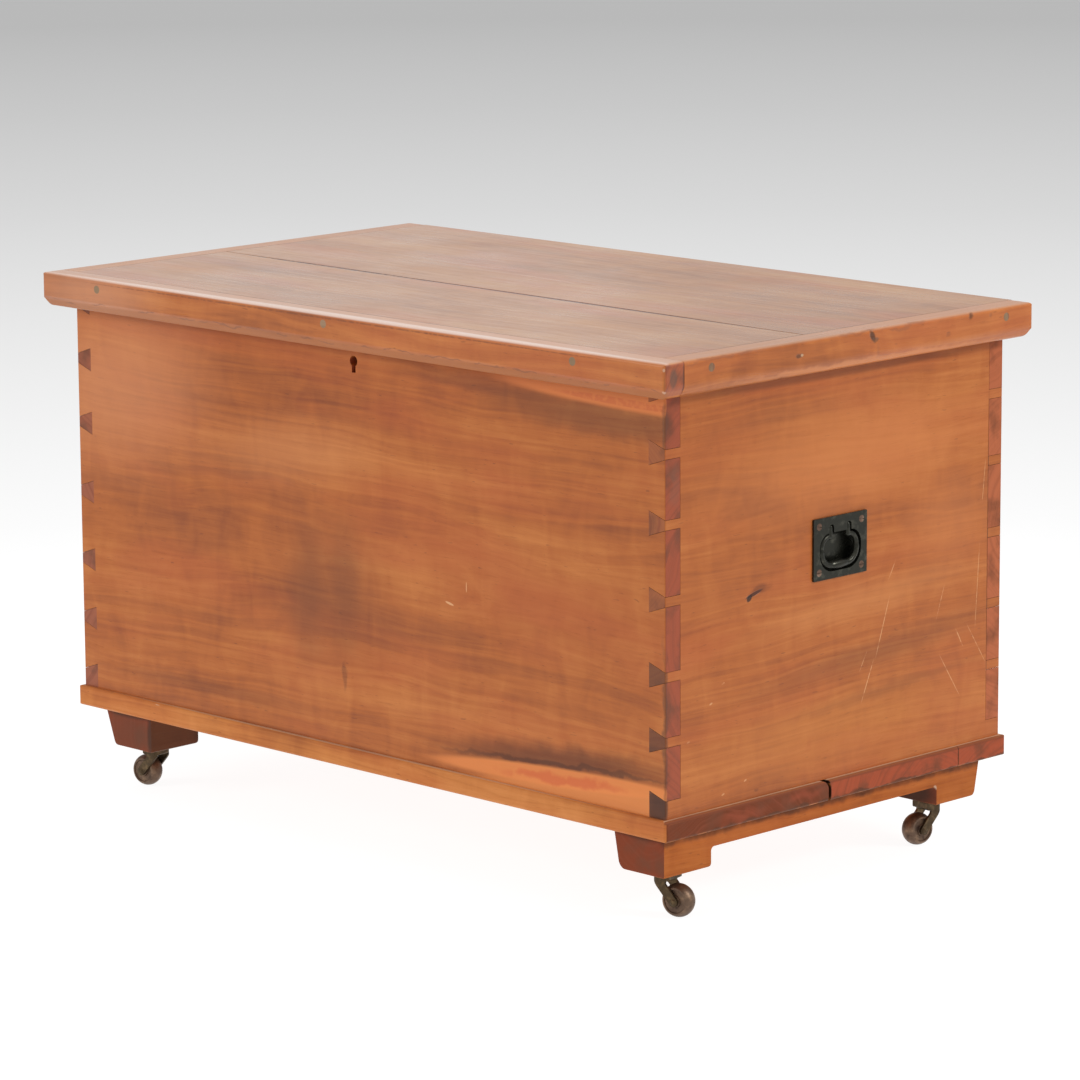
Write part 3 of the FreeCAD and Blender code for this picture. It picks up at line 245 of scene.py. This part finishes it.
    # Stains have ragged edges; scratches and dents keep theirs.
    ragged_noise = add(tree, "TexNoise", {"Vector": place, "Scale": 38.0, "Detail": 4.0}).outputs["Color"]
    ragged = add(tree, "VectorMath", {0: ragged_noise, 1: (0.5, 0.5, 0.5)},
                 operation="SUBTRACT").outputs["Vector"]
    ragged = add(tree, "VectorMath", {0: ragged, 1: (0.018, 0.018, 0.018), 2: place},
                 operation="MULTIPLY_ADD").outputs["Vector"]
    broken = add(tree, "TexNoise", {"Vector": place, "Scale": 160.0, "Detail": 2.0}).outputs["Fac"]
    broken = add(tree, "MapRange", {"Value": broken, "From Min": 0.38, "From Max": 0.54,
                                    "To Min": 0.25}).outputs["Result"]
    dents = 0.0
    turn_about = turn_about or {"X": "Y", "Y": "X"}[grain]
    for code, centre, radii, turned, strength, softness, depth in marks:
        start = ragged if softness > 0.5 else place
        face_turn = [math.radians(turned) if axis == turn_about else 0 for axis in "XYZ"]
        local = add(tree, "Mapping", {
            "Vector": start, "Location": [v / 1000 for v in centre], "Rotation": face_turn,
            "Scale": [v / 1000 for v in radii]}, vector_type="TEXTURE").outputs["Vector"]
        away = add(tree, "VectorMath", {0: local}, operation="LENGTH").outputs["Value"]
        mask = add(tree, "MapRange", {"Value": away, "From Min": 1.0, "From Max": 1.0 - softness,
                                      "To Max": strength},
                   interpolation_type="SMOOTHSTEP").outputs["Result"]
        if softness < 0.31:
            mask = add(tree, "Math", {0: mask, 1: broken}, operation="MULTIPLY").outputs["Value"]
        colour = add(tree, "Mix", {"Factor": mask, "A": colour, "B": hex_colour(code)},
                     data_type="RGBA").outputs[2]
        if depth:
            dents = add(tree, "Math", {0: mask, 1: depth, 2: dents},
                        operation="MULTIPLY_ADD").outputs["Value"]
    relief = add(tree, "Bump", {"Height": height, "Strength": 0.35, "Distance": 0.0003})
    if marks:
        relief = add(tree, "Bump", {"Height": dents, "Strength": 1.0, "Distance": 0.001,
                                    "Normal": relief.outputs["Normal"]}, invert=True)
    rub = add(tree, "TexNoise", {"Vector": place, "Scale": 7.0, "Detail": 5.0}).outputs["Fac"]
    gloss = add(tree, "MapRange", {"Value": rub, "From Min": 0.3, "From Max": 0.7,
                                   "To Min": polish - 0.06, "To Max": polish + 0.09}).outputs["Result"]
    gloss = add(tree, "Math", {0: pore_mask, 1: 0.4, 2: gloss}, operation="MULTIPLY_ADD").outputs["Value"]
    gloss = add(tree, "Math", {0: streaks, 1: -0.35, 2: gloss}, operation="MULTIPLY_ADD").outputs["Value"]
    gloss = add(tree, "Math", {0: gloss, 1: 0.17}).outputs["Value"]
    # The saw cuts inside the joints are painted near black: painted shade in the gaps.
    if jointed:
        upward = add(tree, "Math", {0: outward[2]}, operation="ABSOLUTE").outputs["Value"]
        sawn = add(tree, "MapRange", {"Value": upward, "From Min": 0.75, "From Max": 0.9}).outputs["Result"]
        # The planed top edges, at a height of 627 mm, keep their finish.
        height_now = add(tree, "SeparateXYZ", {"Vector": place}).outputs[2]
        under_rim = add(tree, "MapRange", {"Value": height_now, "From Min": 0.620,
                                           "From Max": 0.612}).outputs["Result"]
        sawn = add(tree, "Math", {0: sawn, 1: under_rim}, operation="MULTIPLY").outputs["Value"]
        colour = add(tree, "Mix", {"Factor": sawn, "A": colour, "B": hex_colour(joint_shade_tone)},
                     data_type="RGBA").outputs[2]
        gloss = add(tree, "Mix", {"Factor": sawn, "A": gloss, "B": 1.0}).outputs[0]
    shader = add(tree, "BsdfPrincipled", {
        "Base Color": colour, "Roughness": gloss, "IOR": 1.5, "Specular IOR Level": shine,
        "Coat Weight": wax, "Coat Roughness": 0.26, "Normal": relief.outputs["Normal"]})
    add(tree, "OutputMaterial", {"Surface": shader.outputs["BSDF"]})
    return material


def dress(material, *names):
    """Give CAD nodes a finish, and leave their shapes alone."""
    for name in names:
        slots = nodes[name].data.materials
        slots.clear()
        slots.append(material)


front_face = -283
front_marks = [
    # colour, centre, radii, turn, strength, softness, depth
    # the smudge, and dark streaks below it
    ("#6E3C22", (-84, front_face, 302), (46, 20, 120), 4, 0.42, 0.9, 0),
    ("#6E3C22", (-22, front_face, 316), (42, 20, 110), 4, 0.38, 0.9, 0),
    ("#6E3C22", (-40, front_face, 312), (140, 20, 130), 8, 0.24, 0.9, 0),
    ("#5A2E1A", (-22, front_face, 212), (5, 20, 24), 0, 0.40, 0.6, 0),
    ("#6B3519", (-270, front_face, 160), (250, 20, 16), 0, 0.40, 0.9, 0),
    # heartwood and a pale streak under the lid
    ("#5E3420", (420, front_face, 571), (270, 20, 30), 1, 0.54, 0.75, 0),
    ("#5E3420", (210, front_face, 588), (150, 20, 16), 1, 0.38, 0.8, 0),
    ("#D2793F", (440, front_face, 598), (240, 3, 17), 1, 0.85, 0.32, 0),
    ("#B04E2A", (440, front_face, 592), (120, 5, 5), 1, 0.40, 0.3, 0),
    # paler at the upper left
    ("#D08A60", (-420, front_face, 520), (240, 20, 160), -8, 0.52, 0.9, 0),
    ("#C98452", (-120, front_face, 470), (230, 20, 60), -6, 0.35, 0.9, 0),
    # the sapwood wedge, its dark upper edge and its red stain
    ("#5A2C16", (330, front_face, 168), (260, 20, 26), -4, 0.75, 0.8, 0),
    ("#4A2412", (330, front_face, 163), (240, 20, 4), -3, 0.60, 0.6, 0),
    ("#DA8444", (420, front_face, 122), (330, 5, 34), -3, 0.80, 0.32, 0),
    ("#DC8242", (330, front_face, 148), (240, 5, 13), -3, 0.85, 0.32, 0),
    ("#C4532C", (340, front_face, 147), (130, 5, 9), -3, 0.60, 0.6, 0),
    # grime on the right arris and on a tail's end
    ("#5A3A28", (499, front_face, 230), (5, 5, 130), 0, 0.60, 0.7, 0),
    ("#5A3A28", (499, front_face, 570), (5, 5, 50), 0, 0.50, 0.7, 0),
    ("#7A5644", (500, -270, 505), (4, 14, 40), 0, 0.30, 0.6, 0),
    # two pale scratches
    ("#E2AE7C", (157, front_face, 325), (8, 5, 1.6), 12, 0.7, 0.32, 0.2),
    ("#E2AE7C", (185, front_face, 348), (1.1, 5, 7), 0, 0.5, 0.32, 0.2),
]
dress(waxed_board("waxed_wood_front", "X", (-0.10, 0.33), marks=front_marks), "front_board")

# ---------------------------------------------------------------- rear board and sides
# The rear board is like the front one. The side boards run from front to back, with their
# pins' end grain showing on the front; the right one has a split knot and many scratches.

right_face = 500
pale = "#E2AE7C"
side_marks = [
    # dark and pale bands along the grain
    ("#6E3C20", (right_face, 60, 262), (20, 300, 24), 5, 0.42, 0.9, 0),
    ("#6E3C20", (right_face, 80, 216), (20, 220, 10), 4, 0.30, 0.8, 0),
    ("#7A4425", (right_face, -60, 560), (20, 260, 14), 2, 0.12, 0.9, 0),
    ("#C98148", (right_face, 60, 330), (20, 260, 30), 3, 0.40, 0.9, 0),
    ("#CE7C42", (right_face, 20, 490), (20, 330, 80), 3, 0.50, 0.9, 0),
    ("#CC7C44", (right_face, 200, 400), (20, 120, 80), 0, 0.40, 0.9, 0),
    ("#C47A36", (right_face, 0, 185), (8, 340, 70), 0, 0.35, 0.9, 0),
    # the split knot
    ("#3A1B0E", (right_face, -138, 363), (8, 17, 2.6), 14, 0.9, 0.4, 0.6),
    ("#2E1A12", (right_face, -146, 359), (8, 6, 4), 40, 0.9, 0.4, 0.6),
    ("#5A2C17", (right_face, -128, 366), (8, 22, 7), 14, 0.5, 0.7, 0.1),
    # the lowest pins' end grain, on the front
    ("#3A2014", (488, front_face, 142), (30, 6, 26), 0, 0.80, 0.5, 0),
    ("#4A2A1A", (488, front_face, 210), (30, 6, 34), 0, 0.60, 0.5, 0),
    ("#4A2E1E", (488, front_face, 290), (30, 6, 34), 0, 0.55, 0.5, 0),
    # painted shadow under the lipping, painted light on the side below it, and the dark line beside the
    # rear tails
    ("#7E4626", (right_face, 0, 600), (8, 290, 9), 0, 0.42, 0.5, 0),
    ("#C8793F", (right_face, 0, 530), (8, 300, 90), 0, 0.35, 0.9, 0),
    ("#3A1E12", (right_face, 268.8, 360), (4, 0.9, 240), 0, 0.70, 0.4, 0),
    # scratches
    (pale, (right_face, 261, 438), (4, 0.8, 30), -6, 0.42, 0.3, 0.1),
    (pale, (right_face, 251, 315), (4, 0.8, 58), -4, 0.42, 0.3, 0.1),
    (pale, (right_face, 98, 356), (4, 0.8, 16), -30, 0.40, 0.3, 0.1),
    (pale, (right_face, 82, 291), (4, 0.9, 42), -19, 0.48, 0.3, 0.1),
    (pale, (right_face, 56, 231), (4, 0.9, 30), -24, 0.50, 0.3, 0.1),
    (pale, (right_face, 48, 255), (4, 0.7, 15), -30, 0.40, 0.3, 0.1),
    (pale, (right_face, 184, 304), (4, 0.8, 24), -20, 0.40, 0.3, 0.1),
    (pale, (right_face, 202, 214), (4, 0.8, 38), 34, 0.42, 0.3, 0.1),
    (pale, (right_face, 219, 257), (4, 0.9, 15), 30, 0.52, 0.3, 0.1),
    (pale, (right_face, 250, 245), (4, 0.8, 34), 34, 0.42, 0.3, 0.1),
]
pale_nicks = ((-246, 210), (-189, 268), (-209, 248), (-152, 150), (-189, 140))
for y, z in pale_nicks:
    side_marks.append((pale, (right_face, y, z), (4, 3.0, 1.2), 20, 0.5, 0.3, 0.3))
dress(waxed_board("waxed_wood_rear", "X", (0.36, 0.40), end="#B0623F", end_ring="#9A5436", shine=0.1,
                  jointed=True), "rear_board")
dress(waxed_board("waxed_wood_left_side", "Y", (0.62, 0.30), end="#985438", jointed=True),
      "side_board_left")
dress(waxed_board("waxed_wood_right_side", "Y", (-0.40, 0.46), end="#9C5830", marks=side_marks,
                  jointed=True), "side_board_right")

# Thin dark strips of painted shade fill the joints at the back, so no light shows through. One
# thin strip lies along each side of each pin, in the joint's gap of 0.4 mm, just inside the rear face.
pin_heights = (215.33, 289.67, 375.0, 461.33, 540.67)
strip_ends = ((499.3, 5.74), (476.0, 13.66))    # x, and half the pin's height there
strip_depth = (289.6, 291.8)                    # y of its front and its back
strip_rise = (0.06, 0.34)                       # from the pin to its two faces
box_faces = ((0, 1, 3, 2), (4, 6, 7, 5), (0, 4, 5, 1), (2, 3, 7, 6), (0, 2, 6, 4), (1, 5, 7, 3))
corners, faces = [], []
for end in (-1, 1):
    for height in pin_heights:
        for turned_up in (-1, 1):
            first = len(corners)
            for y in strip_depth:
                for x, half in strip_ends:
                    for rise in strip_rise:
                        z = height + turned_up * (half + rise)
                        corners.append((end * x / 1000, y / 1000, z / 1000))
            faces += [[first + i for i in face] for face in box_faces]
packing = bpy.data.meshes.new("joint_packing")
packing.from_pydata(corners, [], faces)
packing.validate()
joint_packing = bpy.data.objects.new("joint_packing", packing)
scene.collection.objects.link(joint_packing)
# The strips' dark colour is painted shade inside the joints.
packing_finish, packing_tree = empty_material("painted_shade_joint_strips")
packing_shader = add(packing_tree, "BsdfPrincipled", {
    "Base Color": hex_colour("#4A2A1A"), "Roughness": 0.9, "Specular IOR Level": 0.1})
add(packing_tree, "OutputMaterial", {"Surface": packing_shader.outputs["BSDF"]})
packing.materials.append(packing_finish)
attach(joint_packing, "chest")

# ---------------------------------------------------------------- bottom boards and bearers
# Three boards nailed on from below, with their rounded edges showing all round, and two
# sawn bearers under them. All are the same wood, a little rougher and less waxed.

dust = "#C9B49C"
# grime_and_shade is real grime in the joints, and painted shadow and shade on the bearers.
grime_and_shade = "#3E2516"
ledge_marks = [
    # two knocks on the front, and dust along the top
    ("#8A5A38", (-447, -289, 127), (9, 3, 4), 0, 0.60, 0.6, 0.5),
    ("#DCC0A4", (-366, -289, 126), (12, 3, 1.6), 0, 0.50, 0.6, 0.2),
    (dust, (0, -285, 127), (530, 3.5, 1.2), 0, 0.42, 0.5, 0),
    # the right ends, darker along their top and bottom edges
    ("#7A4028", (505, 0, 126), (4, 700, 4), 0, 0.80, 0.5, 0),
    ("#5A3420", (506, 0, 102.5), (6, 700, 4), 0, 0.88, 0.6, 0),
    # painted shade inside the open joint
    ("#200E08", (500, -14.5, 112), (14, 3.4, 13), 0, 0.96, 0.35, 0),
    ("#200E08", (500, -17.5, 124), (14, 4.5, 3.6), 0, 0.96, 0.35, 0),
    # dust and grime on the ledge at the ends and the back
    (dust, (501.5, 0, 127), (2.4, 700, 1.2), 0, 0.45, 0.5, 0),
    (dust, (-503, 0, 127), (4.5, 330, 1.2), 0, 0.55, 0.4, 0),
    (grime_and_shade, (0, 299, 127), (530, 5, 1.5), 0, 0.35, 0.4, 0),
    # blotches on the right ends, and the closed joint
    ("#9C4A30", (506, -160, 112), (5, 60, 12), -4, 0.38, 0.8, 0),
    ("#9C4A30", (506, -60, 116), (5, 50, 9), 3, 0.42, 0.8, 0),
    ("#5A3626", (506, 120, 108), (5, 60, 7), 4, 0.25, 0.8, 0),
    ("#3A1E12", (506, 212.5, 114), (5, 1.1, 16), 0, 0.80, 0.4, 0),
]
bearer_marks = [
    # painted shadow under the ledge, painted shade on the feet, and a dusty nick
    (grime_and_shade, (492, 5, 101), (9, 700, 11), 0, 0.70, 0.7, 0),
    ("#5A3420", (-425, -283, 74), (70, 22, 44), 0, 0.50, 0.8, 0),
    (grime_and_shade, (453, -277, 103), (60, 8, 9), 0, 0.45, 0.5, 0),
    (grime_and_shade, (-425, -277, 103), (60, 8, 10), 0, 0.55, 0.5, 0),
    (grime_and_shade, (455, 180, 68), (50, 20, 26), 0, 0.90, 0.4, 0),
    (grime_and_shade, (-425, -197, 68), (70, 16, 26), 0, 0.45, 0.4, 0),
    (grime_and_shade, (-384, -240, 78), (10, 70, 44), 0, 0.80, 0.4, 0),
    (dust, (492, 187, 78), (4, 4, 5), 0, 0.60, 0.5, 0),
]
bottom_tones = ("#96522A", "#C0763C", "#D88E50")
for name, heart, end in (("front", (-0.20, 0.02), "#6E3418"), ("middle", (0.16, 0.06), "#A04A2C"),
                         ("rear", (0.30, 0.03), "#A04A2C")):
    dress(waxed_board("waxed_wood_bottom_" + name, "X", heart, tones=bottom_tones, end=end,
                      marks=ledge_marks, polish=0.46, shine=0.12), "bottom_board_" + name)
dress(waxed_board("sawn_wood_bearers", "Y", (-0.46, 0.12), tones=("#7A3A14", "#A4561C", "#BC6C2C"),
                  end="#7C3618", marks=bearer_marks, polish=0.5, shine=0.15),
      "bearer_left", "bearer_right")

# ---------------------------------------------------------------- lid
# Two boards with an open joint between them, and a lipping of three rounded strips, held by
# screws under round plugs that have greyed. Wax and grime have gathered in the joints.

lid_tones = ("#8E562A", "#AC703A", "#BE864C")
lip_tones = ("#84431C", "#B0622A", "#CA7C3C")
lip_foot = 607
joint_run, joint_drift = 993, -16       # the open joint's length, and how far it strays
joint_turn = math.degrees(math.atan2(joint_drift, joint_run))
lid_marks = [
    # the dark open joint, and grime beside the lippings
    ("#6A3018", (150, -49.5, 648), (400, 5.0, 3), joint_turn, 0.90, 0.5, 0.8),
    ("#5A2814", (-260, -43, 648), (240, 5.0, 3), joint_turn, 0.90, 0.3, 0.8),
    (grime_and_shade, (0, -282, 648), (520, 1.6, 3), 0, 0.45, 0.5, 0.1),
    (grime_and_shade, (497, 0, 648), (1.6, 330, 3), 0, 0.45, 0.5, 0.1),
    (grime_and_shade, (-497, 0, 648), (1.6, 330, 3), 0, 0.45, 0.5, 0.1),
]
front_lip_marks = [
    # painted sheen on the top, a paler patch at the left end, and a painted highlight on the upper arris
    ("#C8A48C", (0, -297, 649), (1200, 40, 4), 0, 0.70, 0.5, 0),
    ("#C98E6C", (-440, -313, 630), (180, 30, 60), 0, 0.55, 0.9, 0),
    ("#E4CFC4", (10, -308, 648), (700, 9, 4), 0, 0.70, 0.5, 0),
    # a grimy line, painted shade on the lower bevel, and a dark line along its upper edge
    ("#6A3A24", (0, -313, 643), (520, 2, 1.2), 0, 0.55, 0.3, 0),
    ("#A05A1A", (0, -309, lip_foot + 3), (1200, 10, 10), 0, 0.70, 0.5, 0),
    ("#6A3A1C", (0, -313, lip_foot + 9), (1200, 3, 1.4), 0, 0.50, 0.6, 0),
    # the joints at the right corner, its dark end grain and its knocks
    ("#4A2A1A", (528, -283, 625), (4, 1.5, 26), 0, 0.60, 0.4, 0),
    ("#6A3420", (528, -313, 625), (2.5, 2.5, 24), 0, 0.50, 0.5, 0),
    (grime_and_shade, (0, -282, 648), (520, 1.6, 3), 0, 0.45, 0.5, 0.1),
    ("#54463A", (528, -299, 630), (6, 7.5, 14), 0, 0.60, 0.5, 0),
    ("#D8BCA4", (526.5, -313, 641), (2, 3, 2.5), 20, 0.50, 0.4, 0.3),
    ("#D8BCA4", (525, -311, 616), (3, 3, 2), 0, 0.45, 0.4, 0.3),
]
side_lip_marks = [
    # painted sheen on the top, painted light on the lower bevel, and grime in the joints
    ("#BE987C", (0, 0, 649), (1200, 1200, 4), 0, 0.60, 0.5, 0),
    ("#D8894E", (523, 0, lip_foot + 3), (10, 325, 8), 0, 0.50, 0.6, 0),
    (grime_and_shade, (497, 0, 648), (1.6, 330, 3), 0, 0.35, 0.5, 0.1),
    (grime_and_shade, (-497, 0, 648), (1.6, 330, 3), 0, 0.35, 0.5, 0.1),
    # stains, bruises and chips on the right side
    ("#8A5236", (528, -215, 645), (4, 90, 3), 0, 0.50, 0.7, 0),
    ("#8A5236", (526, 60, 645), (4, 150, 3), 0, 0.45, 0.7, 0),
    ("#4A2E1E", (528, -95, 633), (4, 8, 4), 0, 0.70, 0.6, 0.6),
    ("#D8B48E", (528, -90, 632), (4, 3, 2), 0, 0.60, 0.5, 0.1),
    ("#3A2618", (527, 29, 640), (5, 5, 9), 30, 0.80, 0.5, 0.8),
    ("#5A4432", (528, 36, 634), (4, 7, 4), 0, 0.60, 0.6, 0.6),
    ("#3A2618", (527, 204, 643), (5, 7, 6), 20, 0.75, 0.6, 0.6),
    ("#9A5A34", (528, 238, 641), (4, 3, 3), 0, 0.60, 0.6, 0.2),
    ("#8A4E2C", (528, 40, 618), (4, 5, 14), 0, 0.35, 0.8, 0),
    ("#8A4E2C", (528, 160, 628), (4, 5, 5), 0, 0.45, 0.7, 0.2),
]
for name, heart in (("front", (-0.16, 0.55)), ("rear", (0.17, 0.52))):
    dress(waxed_board("waxed_wood_lid_" + name, "X", heart, tones=lid_tones, marks=lid_marks,
                      polish=0.32, wax=0.6, shine=0.6, turn_about="Z"), "lid_board_" + name)
dress(waxed_board("waxed_wood_front_lipping", "X", (-0.24, 0.60), tones=lip_tones, end="#A4532E",
                  marks=front_lip_marks, polish=0.34, wax=0.28, turn_about="Z"), "lid_lipping_front")
dress(waxed_board("waxed_wood_side_lippings", "Y", (-0.44, 0.58), tones=lip_tones, marks=side_lip_marks,
                  polish=0.34, wax=0.2), "lid_lipping_left", "lid_lipping_right")
dress(waxed_board("waxed_wood_plugs", "X", (0.0, 0.60), tones=("#6E563E", "#8A7054", "#9C8266"),
                  end="#8A7054"), "lipping_plugs")

# ---------------------------------------------------------------- hinges, lock and fixings
# Iron hinges and lock, dull with age, and steel screws and nails with a brown bloom.


pit_scale, patch_scale = 900.0, 90.0        # pits and patches to a metre, about


def aged_metal(name, body, worn, bloom, roughness, metallic=1.0):
    """Old metal: a base tone, worn patches, a bloom of oxide and fine pitting."""
    material, tree = empty_material(name)
    place = add(tree, "TexCoord").outputs["Object"]
    patches = add(tree, "TexNoise", {"Vector": place, "Scale": patch_scale, "Detail": 6.0,
                                     "Roughness": 0.6}).outputs["Fac"]
    pits = add(tree, "TexNoise", {"Vector": place, "Scale": pit_scale, "Detail": 3.0}).outputs["Fac"]
    rubbed = add(tree, "MapRange", {"Value": patches, "From Min": 0.52,
                                    "From Max": 0.72}).outputs["Result"]
    oxide = add(tree, "MapRange", {"Value": patches, "From Min": 0.46, "From Max": 0.30}).outputs["Result"]
    colour = add(tree, "Mix", {"Factor": rubbed, "A": hex_colour(body), "B": hex_colour(worn)},
                 data_type="RGBA").outputs[2]
    colour = add(tree, "Mix", {"Factor": oxide, "A": colour, "B": hex_colour(bloom)},
                 data_type="RGBA").outputs[2]
    rough = add(tree, "MapRange", {"Value": patches, "From Min": 0.3, "From Max": 0.7,
                                   "To Min": roughness + 0.14,
                                   "To Max": roughness - 0.06}).outputs["Result"]
    relief = add(tree, "Bump", {"Height": pits, "Strength": 0.3, "Distance": 0.0002})
    shader = add(tree, "BsdfPrincipled", {"Base Color": colour, "Roughness": rough, "Metallic": metallic,
                                          "Normal": relief.outputs["Normal"]})
    add(tree, "OutputMaterial", {"Surface": shader.outputs["BSDF"]})
    return material


old_iron = aged_metal("dull_wrought_iron", "#3A3632", "#6A6660", "#4A3226", 0.5)
dress(old_iron, "hinge_leaf_rear_left", "hinge_leaf_rear_right", "hinge_leaf_lid_left",
      "hinge_leaf_lid_right", "hinge_pins", "lock_case", "lock_cap", "lock_bolt", "lock_link_plate")
old_steel = aged_metal("bloomed_steel", "#5C544A", "#8C8478", "#5A3A28", 0.45)
dress(old_steel, "hinge_screws_rear", "hinge_screws_lid", "lock_screws", "link_plate_screws",
      "lipping_screws", "bearer_rail_screws", "bearer_foot_screws", "bottom_nails")

# ---------------------------------------------------------------- flush handles
# Pressed plates and cast bails, blackened and then polished by hands, and brown screws.

blackened = aged_metal("blackened_iron", "#2C2C25", "#4E4C42", "#35322A", 0.26, metallic=0.75)
dress(blackened, "handle_plate_left", "handle_plate_right", "handle_bail_left", "handle_bail_right")
dress(aged_metal("tarnished_brass_screws", "#725A4C", "#9E8472", "#4C392F", 0.36), "handle_screws")

# ---------------------------------------------------------------- castors
# Cast bronze horns and wheels with a dark brown patina, brighter where they rub.

castor_horns = aged_metal("patinated_bronze", "#4E3F2C", "#7A6446", "#382B1B", 0.42, metallic=0.8)
castor_wheels = aged_metal("worn_bronze", "#665040", "#8C7058", "#443228", 0.45, metallic=0.6)
for name in nodes:
    if name.startswith("castor_wheel"):
        dress(castor_wheels, name)
    elif name.startswith("castor_"):
        dress(castor_horns, name)
